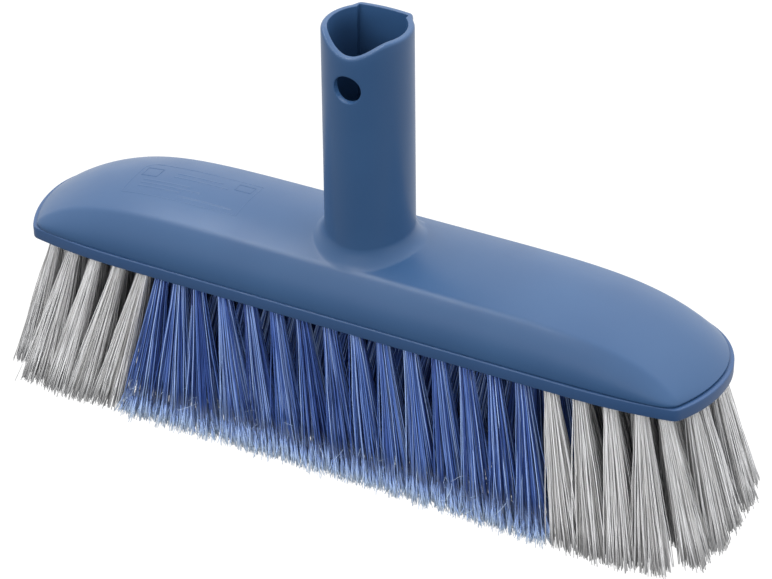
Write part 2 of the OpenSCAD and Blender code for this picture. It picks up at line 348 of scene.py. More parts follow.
def button_patch(shell, rings, columns, radius_at, outwards):
    """Fills the window that was left in a stack of rings with a sheet that has a round hole.

    Returns the loop of the hole's edge on that wall.
    """
    first, last = columns[0], columns[-1]
    loop = list(rings[-1][first:last + 1])
    loop += [ring[last] for ring in rings[-2:0:-1]]
    loop += list(rings[0][first:last + 1][::-1])
    loop += [ring[first] for ring in rings[1:-1]]
    loop = np.array(loop)
    points = np.concatenate(shell.points)[loop]
    x, z = points[:, 0], points[:, 2] - BUTTON_Z
    turn = np.arctan2(z, x)
    # The hole's edge is rolled over a little, so that it catches the light
    roll = BUTTON_ROLL_OUT if outwards else BUTTON_ROLL_IN
    rounds = [(BUTTON_R + roll, 0.0), (BUTTON_R + roll * 0.3, roll * 0.3), (BUTTON_R, roll)]
    levels = 6
    previous = loop
    for k in range(1, levels + len(rounds)):
        if k < levels:
            share = (k / levels) ** 0.8
            rx = x + (rounds[0][0] * np.cos(turn) - x) * share
            rz = z + (rounds[0][0] * np.sin(turn) - z) * share
            depth = 0.0
        else:
            radius, depth = rounds[k - levels]
            rx, rz = radius * np.cos(turn), radius * np.sin(turn)
        reach = radius_at(rz + BUTTON_Z)
        y = SOCKET_Y - np.sqrt(reach ** 2 - rx ** 2) + (depth if outwards else -depth)
        ring = shell.add(np.c_[rx, y, rz + BUTTON_Z])
        if outwards:
            shell.strip(previous, ring)
        else:
            shell.strip(ring, previous)
        previous = ring
    return previous


def drafted(outer, z):
    """Reach of the socket's outer wall at a height. It widens a little towards its foot."""
    return outer + SOCKET_DRAFT * (Z_RIM - z)


def rim_rings(ring, inner, outer, top, start):
    """Rings from a level inside the socket up over its rolled rim, and down outside again."""
    wall = outer - inner
    inner_roll = np.minimum(ROLL_IN, 0.2 * wall)
    outer_roll = np.minimum(ROLL_OUT, 0.62 * wall)
    outer_drop = outer_roll * ROLL_DOWN / ROLL_OUT
    rings = [ring(inner, start + (top - inner_roll - start) * share) for share in (0.5, 1.0)]
    quarter = np.radians([18, 36, 54, 72, 90])
    for a in quarter:
        rings.append(ring(inner + inner_roll * (1 - np.cos(a)), top - inner_roll * (1 - np.sin(a))))
    for a in quarter[::-1]:
        rings.append(ring(outer - outer_roll * (1 - np.cos(a)), top - outer_drop * (1 - np.sin(a))))
    for share in (1.0, 0.5):
        z = start + (top - outer_drop - start) * share
        rings.append(ring(drafted(outer, z), z))
    return rings


def collar_rings(ring, turn, outer, start):
    """The outer wall below a level, and the hollow collar that stands on the crown's own height."""
    foot = drafted(outer, COLLAR_Z)
    collar_top = skin_height(foot * np.cos(turn), SOCKET_Y + foot * np.sin(turn)) + COLLAR_RISE
    rings = []
    for share in np.linspace(0, 1, 12)[1:]:
        z = start + (collar_top - start) * share
        rings.append(ring(drafted(outer, z), z))
    for a in np.radians(np.linspace(0, 90, 17)[1:]):
        reach = foot + COLLAR_OUT * (1 - max(math.cos(a), 0) ** (2 / COLLAR_POWER))
        rise = COLLAR_RISE * (1 - math.sin(a) ** (2 / COLLAR_POWER))
        x, y = reach * np.cos(turn), SOCKET_Y + reach * np.sin(turn)
        rings.append(ring(reach, skin_height(x, y) + rise))
    return rings


def skin_rings(shell, start, stop, shares, inset=0.0):
    """Rings of the skin at some shares of the way between two loops of s and v."""
    return [shell.add(skin_point(*(start + (stop - start) * share), inset)) for share in shares]


def lip_rings(shell, rim, inner_rim):
    """The lip and the small round at its foot that shows as the parting line."""
    gap = EDGE_GAP + EDGE_GAP_GROWS * np.clip((rim[:, 0] - EDGE_GAP_FROM) / EDGE_GAP_OVER, 0, 1)
    rings = []
    # Share of the wall, share of the gap, and height above it
    for inset, share, rise in ((0.0, 1, 0.3), (0.03, 1, 0.1), (0.08, 1, 0), (0.34, 1, 0),
                               (0.36, 0, 0), (1, 0, 0)):
        ring = rim + (inner_rim - rim) * inset
        ring[:, 2] = Z_PART + gap * share + rise
        rings.append(shell.add(ring))
    ring = inner_rim.copy()
    ring[:, 2] = Z_SKIN - 0.2
    rings.append(shell.add(ring))
    return rings


def cover_shell(shell):
    """The closed skin of the cover and its socket, as rings round the socket's axis."""
    edge = edge_walk().T
    turn = np.arctan2(edge[1] * COVER_W / 2 - SOCKET_Y, edge[0] * COVER_L / 2)
    outer, inner = socket_outer(turn), socket_inner(turn)

    def ring(reach, z):
        return shell.add(polar(reach, turn, z))

    # The button hole is cut in a window of both walls, over some levels and directions
    levels = np.linspace(BUTTON_Z + WINDOW_HIGH, BUTTON_Z - WINDOW_HIGH, 15)
    window = [int(i) for i in np.nonzero(from_front(turn) < WINDOW_TURN)[0]]
    window.sort(key=lambda i: (turn[i] + 2.2 * math.pi) % (2 * math.pi))

    floor_up = [ring(inner, z) for z in np.linspace(SOCKET_FLOOR, levels[-1], 6)[:-1]]
    shell.fan(floor_up[0], (0, SOCKET_Y, SOCKET_FLOOR))
    inner_window = [ring(inner, z) for z in levels[::-1]]
    over_rim = rim_rings(ring, inner, outer, rim_height(turn), levels[0])
    outer_window = [ring(drafted(outer, z), z) for z in levels]

    lower = collar_rings(ring, turn, outer, levels[-1])
    foot = drafted(outer, COLLAR_Z) + COLLAR_OUT
    start = np.array(skin_place(foot * np.cos(turn), SOCKET_Y + foot * np.sin(turn)))
    lower += skin_rings(shell, start, edge, 1 - (1 - np.arange(1, 47) / 46) ** 1.8)
    lower += lip_rings(shell, skin_point(*edge), skin_point(*edge, COVER_WALL))

    # The inner skin is hidden. Its rings run out from the socket to the edge, so long faces lead
    # from the lip to its first ring, and from its last ring to the socket's closed lower end.
    under = drafted(outer, Z_SKIN)
    start = np.array(skin_place(under * np.cos(turn), SOCKET_Y + under * np.sin(turn), COVER_WALL))
    lower += skin_rings(shell, edge, start, np.linspace(1, 0, 22)[1:] ** 1.8, COVER_WALL)
    bottom = ring(under, SOCKET_FLOOR - COVER_WALL)
    shell.fan(bottom, (0, SOCKET_Y, SOCKET_FLOOR - COVER_WALL), inwards=True)

    skip = set(window[:-1])
    shell.stack(floor_up + inner_window[:1])
    shell.stack(inner_window, skip)
    shell.stack(inner_window[-1:] + over_rim + outer_window[:1])
    shell.stack(outer_window, skip)
    shell.stack(outer_window[-1:] + lower + [bottom])
    middle = window[len(window) // 2]
    outer_edge = button_patch(shell, outer_window, window,
                              lambda z: drafted(outer[middle], z), True)
    inner_edge = button_patch(shell, inner_window[::-1], window,
                              lambda z: np.full_like(z, inner[middle]), False)
    shell.strip(outer_edge, inner_edge)


def both_sides(steps):
    """Places on both sides of the middle, given as numbers of tuft spacings."""
    return [side * k * PITCH for k in steps for side in (-1, 1)]


def cover_ribs(shell):
    """Ribs and pin sockets inside the cover, which stand into its inner skin a little."""
    count = 25
    v = np.linspace(-RIB_ENDS, RIB_ENDS, count)
    for x in both_sides(RIB_STEPS):
        s, _ = skin_place(x, v * COVER_W / 2, COVER_WALL)
        y = skin_point(s, v, COVER_WALL)[:, 1]
        roof = np.maximum(skin_height(x, y, COVER_WALL) + SUNK, RIB_FOOT + 0.3)
        left, right = x - RIB_T / 2, x + RIB_T / 2
        for i in range(count - 1):
            quad = np.array([[left, y[i]], [right, y[i]], [right, y[i + 1]], [left, y[i + 1]]])
            tops = roof[[i, i, i + 1, i + 1]]
            shell.prism(np.c_[quad, np.full(4, RIB_FOOT)], np.c_[quad, tops])
    for x in both_sides(PIN_STEPS):
        roof = float(skin_height(x, 0.0, COVER_WALL)) + SUNK
        shell.prism(circle((x, 0), PIN_SOCKET_R, RIB_FOOT, 28),
                    circle((x, 0), PIN_SOCKET_R, roof, 28))


def raised_line(shell, places, width, stand):
    """A low rounded bead that follows the crown through a list of places in the plan."""
    spacing = 2.5
    route = [np.array(places[0], float)]
    for a, b in zip(places[:-1], places[1:]):
        a, b = np.array(a, float), np.array(b, float)
        steps = max(1, int(np.hypot(*(b - a)) / spacing))
        route += [a + (b - a) * k / steps for k in range(1, steps + 1)]
    route = np.array(route)
    along = np.gradient(route, axis=0)
    along /= np.linalg.norm(along, axis=1)[:, None]
    across = np.c_[-along[:, 1], along[:, 0]]
    profile = [(-0.5, -0.4), (-0.5, 0.15), (-0.25, 1.0), (0.25, 1.0), (0.5, 0.15), (0.5, -0.4)]
    rings = []
    for share, up in profile:
        at = route + across * width * share
        z = skin_height(at[:, 0], at[:, 1]) + stand * up
        rings.append(shell.add(np.c_[at, z]))
    count = len(route)
    for k in range(len(profile)):
        a, b = rings[k], rings[(k + 1) % len(profile)]
        for i in range(count - 1):
            shell.polygons.append((a[i], a[i + 1], b[i + 1], b[i]))
    shell.polygons.append(tuple(r[0] for r in rings))
    shell.polygons.append(tuple(r[-1] for r in rings[::-1]))


def cover_marking(shell):
    """A plain moulded panel on the crown: an outline, a few straight beads and two tablets."""
    x0, x1, y0, y1 = -104.0, -52.5, -12.5, 9.5
    cut = 3.0
    beads = ((4.4, -88, -68), (1.6, -88, -64), (-3.4, -99, -78), (-5.6, -99, -72),
             (-7.8, -99, -80), (-9.8, -80, -56))
    tablets = ((-102, -95, -0.5, 5.5), (-61.5, -54.5, 2.5, 7))
    outline = [(x0, y0), (x1, y0), (x1, y1), (x0 + cut, y1), (x0, y1 - cut), (x0, y0)]
    raised_line(shell, outline, 0.45, 0.08)
    for y, start, stop in beads:
        raised_line(shell, [(start, y), (stop, y)], 0.9, 0.1)
    for left, right, low, high in tablets:
        raised_line(shell, [(left, low), (right, low), (right, high), (left, high), (left, low)],
                    0.5, 0.12)


# ------------------------------------------------------------------ bristle block

def arc_points(centre, radius, start, stop, step=1.1):
    """Points of an arc in the plan, about one step apart."""
    count = max(3, int(abs(stop - start) * radius / step) + 1)
    turn = np.linspace(start, stop, count)
    return np.c_[centre[0] + radius * np.cos(turn), centre[1] + radius * np.sin(turn)]


def block_outline():
    """The block's plan, anticlockwise, as true arcs: round ends behind, and corners in front."""
    side_y = HEAD_W / 2 - SIDE_R
    corner_y = ((SIDE_R - CORNER_R) ** 2 - (END_R - CORNER_R) ** 2 - side_y ** 2) / (-2 * side_y)
    corner_x = ARC_X + math.sqrt((END_R - CORNER_R) ** 2 - corner_y ** 2)
    side_end = math.atan2(corner_y - side_y, corner_x - ARC_X)
    end_start = math.atan2(corner_y, corner_x - ARC_X)
    quarter = np.concatenate([
        arc_points((ARC_X, 0), END_R, 0, end_start)[:-1],
        arc_points((corner_x, corner_y), CORNER_R, end_start, side_end, 0.5)[:-1],
        arc_points((ARC_X, side_y), SIDE_R, side_end, math.pi / 2, 2.0)])
    round_x = HEAD_L / 2 - HEAD_W / 2
    sides = []
    for curve, straight_x in ((arc_points((round_x, 0), HEAD_W / 2, 0, math.pi / 2), round_x),
                              (quarter, ARC_X)):
        straight = np.c_[np.linspace(straight_x, 0, 25)[1:], np.full(24, HEAD_W / 2)]
        half = np.concatenate([curve, straight])
        sides.append(np.concatenate([half, half[::-1][1:] * (-1, 1)]))
    back, front = sides
    return np.concatenate([back, front[::-1][1:-1] * (1, -1)])


def outwards(plan):
    """The plan's normals, which point out of it."""
    along = np.roll(plan, -1, 0) - np.roll(plan, 1, 0)
    along /= np.linalg.norm(along, axis=1)[:, None]
    return np.c_[along[:, 1], -along[:, 0]]


def sheet_with_holes(shell, outline, holes, upwards):
    """Fills a flat outline, given as its points' numbers and places, round a list of loops."""
    loops = [outline] + holes
    numbers = np.concatenate([numbers for numbers, _ in loops])
    places = np.concatenate([places for _, places in loops])
    edges, first = [], 0
    for loop_numbers, _ in loops:
        n = len(loop_numbers)
        edges += [(first + i, first + (i + 1) % n) for i in range(n)]
        first += n
    result = delaunay_2d_cdt([Vector(p) for p in places], edges, [], 1, 1e-5)
    points, faces, sources = result[0], result[2], result[3]
    index = [numbers[s[0]] if s else None for s in sources]
    centres = np.array([places.mean(0) for _, places in holes])
    spans = np.array([np.linalg.norm(p - p.mean(0), axis=1).max() for _, p in holes])
    for face in faces:
        middle = np.mean([points[i] for i in face], 0)
        corner = [index[i] for i in face]
        if None in corner or (np.hypot(*(centres - middle).T) < spans * 0.98).any():
            continue
        shell.polygons.append(tuple(corner if upwards else corner[::-1]))


def tuft_turn(row):
    """Which way a row leans: to +X, to -X, or 0 for the row that fans out."""
    return (1, -1, 0, 1, -1)[row - 1]


def lean_of(u):
    """Lean of a tuft of a row that leans to +X."""
    if u > BLUE_REACH:
        return LEAN_LEAD - LEAD_SLOPE * (u - BLUE_REACH)
    return max(LEAN_TRAIL + TRAIL_SLOPE * max(0, -u - BLUE_REACH),
               LEAN_MID + (LEAN_TRAIL - LEAN_MID) * max(0, -u - TURN_FROM) / TURN_OVER)


def tuft_lean(x, row):
    """How far along its row a tuft's tip stands from its root."""
    side, way = math.copysign(1, x), tuft_turn(row)
    if abs(x) > LAST_X:
        return side * LAST_LEAN[row - 1]
    if way == 0:
        return side * min(LEAN_LEAD * abs(x) / BLUE_REACH,
                          lean_of(max(abs(x), BLUE_REACH + 0.01)))
    return way * lean_of(way * x)


def tuft_out(x, row):
    """Share of its distance from the middle row that a tuft leans outwards."""
    if abs(x) > LAST_X:
        return LAST_OUT[row - 1]
    return OUT_MID + OUT_END * min(1, (x / OUT_X) ** 2)


def row_places(row):
    """(x, y) of each tuft of a row where it leaves the block."""
    if tuft_turn(row) == 0:
        spots = [side * (k + 0.5) * PITCH for side in (-1, 1) for k in range(12)]
    else:
        first, following, count, ends = ((ODD_GREY, ODD_NEXT, 16, ODD_ENDS) if row % 2
                                         else (-8 * PITCH, -5 * PITCH, 17, EVEN_ENDS))
        spots = [ends[0]] + [first - k * TRAIL_GAP for k in (3, 2, 1)]
        spots += [first + k * CLOSE_GAP for k in range(4)]
        spots += [following + k * PITCH for k in range(count)] + [ends[1]]
    spots = sorted(tuft_turn(row) * x if tuft_turn(row) else x for x in spots)
    narrow = [1 - DRAW_IN * max(0, abs(x) - ARC_X) ** 2 / (2 * SIDE_R * 2 * ROW_GAP)
              for x in spots]
    return [(x, (row - 3) * ROW_GAP * n) for x, n in zip(spots, narrow)]


def hole_floor(x, y):
    """Height of the end of a tuft's hole, which stays clear of the inside of the cover."""
    roof = float(skin_height(min(abs(x) + BOSS_R - 1, COVER_L / 2 - 8), abs(y) + BOSS_R - 2))
    boss_top = min(Z_BLOCK + BOSS_TOP, roof - COVER_WALL - ROOF_GAP)
    return max(Z_PART + LEAST_RISE, boss_top - HOLE_FLOOR)


def tip_widths(tufts):
    """Half the distance between neighbouring tips, so that a row closes at the floor."""
    tips = np.array([(t[0] + t[2], t[1] + t[3]) for t in tufts])
    steps = np.linalg.norm(np.diff(tips, axis=0), axis=1)
    before, after = np.r_[steps[:1], steps], np.r_[steps, steps[-1:]]
    widths = np.clip(0.25 * (before + after) + 0.8, TIP_R, WIDEST_TIP)
    widths[[0, -1]] = TIP_R - 1
    return widths


# A tuft is its place, its lean along x and y, and the height of its hole's end
ROWS = range(1, 6)
TUFTS = {row: [(x, y, tuft_lean(x, row), tuft_out(x, row) * y, hole_floor(x, y))
               for x, y in row_places(row)] for row in ROWS}


def block_sides(shell):
    """The band and the deck, as rings up from the underside. Returns the first and last loops."""
    plan = block_outline()
    normal = outwards(plan)
    deck = plan * ((COVER_L / 2 - COVER_WALL - DECK_GAP[0]) / (HEAD_L / 2),
                   (COVER_W / 2 - COVER_WALL - DECK_GAP[1]) / (HEAD_W / 2))
    foot_roll = ((FOOT_ROLL, 0), (0.2, 0.03), (0.07, 0.12), (0.0, 0.32))
    top_roll = ((0.0, 0.5), (0.06, 0.24), (0.22, 0.07), (0.5, 0.0), (1.6, 0.0))
    outlines = [(plan - normal * inset, Z_BLOCK + up) for inset, up in foot_roll]
    outlines.append((plan, (Z_BLOCK + Z_PART) / 2))
    outlines += [(plan - normal * inset, Z_PART - down) for inset, down in top_roll]
    outlines += [(deck, Z_PART), (deck, DECK_TOP)]
    rings = [shell.add(np.c_[outline, np.full(len(plan), z)]) for outline, z in outlines]
    for a, b in zip(rings[:-1], rings[1:]):
        shell.strip(a, b)
    return (rings[0], outlines[0][0]), (rings[-1], deck)


def tuft_hole(shell, tuft):
    """A hole that leans with its tuft, and the boss round it where it stands out of the deck.

    Returns the loops where they meet the underside and the deck.
    """
    x, y, lean_x, lean_y, floor = tuft

    def ring(radius, z):
        share = (z - Z_BLOCK) / Z_BLOCK
        places = circle((x - lean_x * share, y - lean_y * share), radius, z, HOLE_SIDES)
        return shell.add(places), places

    mouth, mouth_places = ring(HOLE_R + MOUTH_ROLL, Z_BLOCK)
    neck, _ = ring(HOLE_R, Z_BLOCK + MOUTH_ROLL)
    end, end_places = ring(HOLE_R, floor)
    shell.strip(neck, mouth)
    shell.strip(end, neck)
    shell.fan(end, end_places.mean(0), inwards=True)
    if floor + HOLE_FLOOR <= DECK_TOP + 0.2:
        return (mouth, mouth_places[:, :2]), None
    foot, foot_places = ring(BOSS_R, DECK_TOP)
    head, head_places = ring(BOSS_R, floor + HOLE_FLOOR)
    shell.strip(foot, head)
    shell.fan(head, head_places.mean(0))
    return (mouth, mouth_places[:, :2]), (foot, foot_places[:, :2])


def block_shell(shell):
    """The block with the holes, bosses and pins that stand in and on it."""
    underside, deck = block_sides(shell)
    holes = [tuft_hole(shell, tuft) for row in ROWS for tuft in TUFTS[row]]
    sheet_with_holes(shell, underside, [mouth for mouth, _ in holes], upwards=False)
    sheet_with_holes(shell, deck, [foot for _, foot in holes if foot is not None], upwards=True)
    for x in both_sides(PIN_STEPS):
        shell.prism(circle((x, 0), PIN_R, DECK_TOP - 0.3, 24), circle((x, 0), PIN_R, PIN_TOP, 24))


# ------------------------------------------------------------------ filaments

def strands(paths, radii, first_u, ends, sides=3):
    """Thin closed tubes along many paths at once.

    paths is (count, steps, 3) and radii (count, steps). Each tube's place across the UV map is
    first_u, and its length runs up the map, so the material can read a tone, whose spread is partly
    painted shade and highlight, and a distance.
    """
    count, steps, _ = paths.shape
    along = np.gradient(paths, axis=1)
    along /= np.linalg.norm(along, axis=2)[..., None] + 1e-9
    helper = rng.normal(size=(count, 1, 3)) * (1, 1, 0.15)
    one = np.cross(along, np.broadcast_to(helper, along.shape))
    one /= np.linalg.norm(one, axis=2)[..., None] + 1e-9
    two = np.cross(along, one)
    angle = np.arange(sides) * 2 * math.pi / sides
    ring = (one[:, :, None] * np.cos(angle)[:, None] + two[:, :, None] * np.sin(angle)[:, None])
    points = paths[:, :, None] + ring * radii[:, :, None, None]
    index = np.arange(count * steps * sides).reshape(count, steps, sides)
    turned = np.roll(index, -1, 2)
    quads = np.stack([index[:, :-1], turned[:, :-1], turned[:, 1:], index[:, 1:]], -1)
    caps = np.stack([index[:, 0, ::-1], index[:, -1]], 1)

    width = 1 / 64
    u = first_u[:, None, None] + width * np.arange(sides)[None, None, :] / sides
    u_next = u + width / sides
    v = np.linspace(ends[0], ends[1], steps)[None, :, None]
    u, u_next, v = (np.broadcast_to(a, (count, steps, sides)) for a in (u, u_next, v))
    quad_u = np.stack([u[:, :-1], u_next[:, :-1], u_next[:, 1:], u[:, 1:]], -1)
    quad_v = np.stack([v[:, :-1], v[:, :-1], v[:, 1:], v[:, 1:]], -1)
    cap_u = np.stack([u[:, 0, ::-1], u[:, -1]], 1)
    cap_v = np.stack([v[:, 0, ::-1], v[:, -1]], 1)
    return (points.reshape(-1, 3), quads.reshape(-1, 4), caps.reshape(-1, sides),
            np.stack([quad_u, quad_v], -1).reshape(-1, 2),
            np.stack([cap_u, cap_v], -1).reshape(-1, 2))


def strand_object(name, parts, material):
    """One mesh from several lots of strands."""
    points, quads, caps, quad_uv, cap_uv, first = [], [], [], [], [], 0
    for p, q, c, quv, cuv in parts:
        points.append(p)
        quads.append(q + first)
        caps.append(c + first)
        quad_uv.append(quv)
        cap_uv.append(cuv)
        first += len(p)
    points, quads, caps = (np.concatenate(a) for a in (points, quads, caps))
    corners = np.concatenate([quads.ravel(), caps.ravel()])
    sizes = np.r_[np.full(len(quads), 4), np.full(len(caps), caps.shape[1])]
    return new_object(name, points, corners, sizes, material, uv=np.concatenate(quad_uv + cap_uv))


def disc(count, radius):
    """Evenly spread places in a disc, a little shaken."""
    k = np.arange(count) + 0.5
    turn = k * GOLDEN_ANGLE + rng.uniform(0, 6.28)
    reach = radius * np.sqrt(k / count)
    return (np.c_[reach * np.cos(turn), reach * np.sin(turn)]
            + rng.normal(0, 0.06 * radius, (count, 2)))


def tuft_paths(tuft, stop, steps, spread, tip_reach):
    """Centre lines of one tuft's filaments, from inside its hole to stop above the floor."""
    x, y, lean_x, lean_y, _ = tuft
    count = len(stop)
    top = Z_BLOCK + TUFT_IN
    root = disc(count, ROOT_R)
    fan = root / ROOT_R
    # The tips are spread over a rounded square, so that neighbouring tufts close up
    squarer = np.linalg.norm(fan, axis=1) / (np.abs(fan).max(1) + 1e-6)
    tip = fan * (squarer ** 0.8)[:, None] * tip_reach + rng.normal(0, spread, (count, 2))
    wild = rng.random(count) < WILD_SHARE
    tip[wild] *= rng.uniform(1.1, 1.4, (int(wild.sum()), 1))
    t = np.linspace(0, 1, steps)[None, :]
    z = top + (stop[:, None] - top) * t
    down = (Z_BLOCK - z) / Z_BLOCK
    free = np.clip(down, 0, None)
    open_up = free ** 1.12
    path = np.empty((count, steps, 3))
    bow = rng.normal(0, 0.5, (count, 2))
    for axis, (start, lean) in enumerate(((x, lean_x), (y, lean_y))):
        shake = rng.normal(0, 0.13, (count, steps)) * np.minimum(free * 4, 1)
        path[:, :, axis] = (start + lean * down + root[:, axis, None] * (1 - open_up)
                            + tip[:, axis, None] * open_up
                            + bow[:, axis, None] * np.sin(np.pi * np.minimum(free, 1)) + shake)
    path[:, :, 2] = z
    return path


def main_strands(tuft, blue, tip_width):
    """A tuft's whole filaments. The blue ones stop above the floor, where they are split."""
    if blue:
        stop = rng.uniform(2.5, 7.5, BLUE_COUNT)
        thick, spread, steps, tip_reach = 0.195, 0.6, 5, (tip_width, TIP_R)
    else:
        stop = np.abs(rng.normal(0, 1.0, GREY_COUNT)) + 0.05
        thick, spread, steps, tip_reach = 0.2, 0.4, 7, (tip_width - 0.4, TIP_R - 0.7)
    paths = tuft_paths(tuft, stop, steps, spread, tip_reach)
    radii = np.full((len(stop), steps), thick) * rng.uniform(0.88, 1.1, (len(stop), 1))
    radii[:, -1] *= 0.85
    return paths, radii


def split_ends(paths, radii):
    """Some fine hairs that leave the last of each filament and run down to the floor."""
    each, steps = HAIRS, 3
    end = np.repeat(paths[:, -1], each, 0)
    before = np.repeat(paths[:, -2], each, 0)
    direction = end - before
    direction /= -direction[:, 2:3]
    count = len(end)
    start = end - direction * rng.uniform(-0.5, 5.0, (count, 1))
    end_z = np.abs(rng.normal(0, 0.7, count)) + 0.04
    t = np.linspace(0, 1, steps)[None, :, None]
    drop = (start[:, 2] - end_z)[:, None, None]
    wander = rng.normal(0, 0.95, (count, 1, 3)) * (1, 1, 0)
    curl = rng.normal(0, 0.28, (count, steps, 3)) * (1, 1, 0) * t
    path = start[:, None] + direction[:, None] * drop * t + wander * t ** 1.4 + curl
    radius = np.repeat(radii[:, -1], each)[:, None] * np.linspace(1.1, 0.8, steps)[None, :]
    return path, radius


def stray_hairs(tufts):
    """Loose curly hairs that stand out from the ends of the blue tufts."""
    each, steps = STRAYS, 8
    spots = np.repeat([[t[0] + t[2] * 0.86, t[1] + t[3] * 0.86] for t in tufts], each, 0)
    count = len(spots)
    turn = rng.uniform(0, 2 * math.pi, count)
    out = np.c_[np.cos(turn), np.sin(turn), np.zeros(count)]
    start = np.c_[spots, rng.uniform(3, 17, count)] + out * rng.uniform(2.5, 5.0, (count, 1))
    length = rng.uniform(3, 9, count)
    heading = out * rng.uniform(0.1, 0.8, (count, 1)) + np.c_[
        rng.normal(0, 0.5, (count, 2)), rng.uniform(-1.1, 0.15, count)]
    heading /= np.linalg.norm(heading, axis=1)[:, None]
    sideways = np.cross(heading, rng.normal(size=(count, 3)))
    sideways /= np.linalg.norm(sideways, axis=1)[:, None]
    t = np.linspace(0, 1, steps)[None, :, None]
    phase = rng.uniform(0, 6.28, (count, 1, 1))
    turns = rng.uniform(2, 6, (count, 1, 1))
    path = (start[:, None] + heading[:, None] * length[:, None, None] * t
            + sideways[:, None] * (np.sin(phase + turns * t) - np.sin(phase))
            * rng.uniform(0.3, 1.0, (count, 1, 1)))
    path[:, :, 2] = np.clip(path[:, :, 2], 0.1, Z_BLOCK - 10)
    radius = np.broadcast_to(np.linspace(0.09, 0.06, steps), (count, steps))
    return path, radius


def make_filaments(row, part, material):
    """The tufts of one colour on one side of a row, as one piece."""
    blue = part == "blue"
    if blue:
        chosen = [abs(t[0]) < BLUE_REACH for t in TUFTS[row]]
    else:
        side = -1 if part == "left_grey" else 1
        chosen = [t[0] * side > BLUE_REACH for t in TUFTS[row]]
    tufts = [t for t, keep in zip(TUFTS[row], chosen) if keep]
    widths = tip_widths(TUFTS[row])[chosen]
    lots = []
    for tuft, tip_width in zip(tufts, widths):
        paths, radii = main_strands(tuft, blue, tip_width)
        # A random tone for each filament: the dark and pale ends of its ramp are painted shade
        # between filaments and painted highlights on them.
        tone_and_shade = rng.uniform(0, 0.46, len(paths))
        lots.append(strands(paths, radii, tone_and_shade, (0.0, 0.9 if blue else 1.0)))
        if blue:
            hairs, thin = split_ends(paths, radii)
            hair_tone = HAIR_TONE + np.repeat(tone_and_shade, HAIRS) * 0.9
            lots.append(strands(hairs, thin, hair_tone, (0.0, 1.0)))
    if blue:
        hairs, thin = stray_hairs(tufts)
        lots.append(strands(hairs, thin, rng.uniform(0.93, 0.97, len(hairs)), (0.5, 1.0)))
    obj = strand_object(f"filaments_row{row}_{part}", lots, material)
    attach(obj, "root")
    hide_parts(f"tufts_row{row}_{part}")


# ------------------------------------------------------------------ materials

def new_material(name):
    """A material with its node tree and its Principled shader."""
    material = bpy.data.materials.new(name)
    material.use_nodes = True
    tree = material.node_tree
    shader = tree.nodes["Principled BSDF"]
    return material, tree, shader


def linear(r, g, b):
    """A colour given as 0 to 255 display values."""
    def one(c):
        c /= 255
        return c / 12.92 if c <= 0.04045 else ((c + 0.055) / 1.055) ** 2.4
    return one(r), one(g), one(b), 1.0


def node(tree, kind, **settings):
    """A new node with some of its settings changed."""
    made = tree.nodes.new(kind)
    for key, value in settings.items():
        setattr(made, key, value)
    return made


def noise(tree, where, scale, detail=2.0):
    made = node(tree, "ShaderNodeTexNoise")
    made.inputs["Scale"].default_value = scale
    made.inputs["Detail"].default_value = detail
    tree.links.new(where, made.inputs["Vector"])
    return made.outputs["Fac"]


def remap(tree, value, source, target):
    """A value that runs over target as another runs over source."""
    made = node(tree, "ShaderNodeMapRange")
    names = ("From Min", "From Max", "To Min", "To Max")
    for name, number in zip(names, (*source, *target)):
        made.inputs[name].default_value = number
    tree.links.new(value, made.inputs["Value"])
    return made.outputs["Result"]


def ramp(tree, factor, stops):
    """A colour that runs through the stops, each a place from 0 to 1 and a colour."""
    made = node(tree, "ShaderNodeValToRGB")
    elements = made.color_ramp.elements
    while len(elements) < len(stops):
        elements.new(0.5)
    for element, (place, colour) in zip(elements, stops):
        element.position = place
        element.color = colour
    tree.links.new(factor, made.inputs["Fac"])
    return made.outputs["Color"]


CLOUD_RANGE = (0.3, 0.7)


def moulded_plastic(name, dark, light, rough):
    """Satin polypropylene: faint cloudiness, a fine spark-eroded grain and uneven gloss."""
    material, tree, shader = new_material(name)
    where = node(tree, "ShaderNodeTexCoord").outputs["Object"]
    cloud = noise(tree, where, 26.0, 3.0)
    tree.links.new(ramp(tree, cloud, [(0.3, dark), (0.7, light)]), shader.inputs["Base Color"])
    grain = noise(tree, where, 1900.0, 1.0)
    gloss = remap(tree, noise(tree, where, 60.0), CLOUD_RANGE, (rough - 0.03, rough + 0.03))
    tree.links.new(gloss, shader.inputs["Roughness"])
    bump = node(tree, "ShaderNodeBump")
    bump.inputs["Strength"].default_value = 0.12
    bump.inputs["Distance"].default_value = 0.00005
    tree.links.new(grain, bump.inputs["Height"])
    tree.links.new(bump.outputs["Normal"], shader.inputs["Normal"])
    shader.inputs["IOR"].default_value = 1.49
    return material


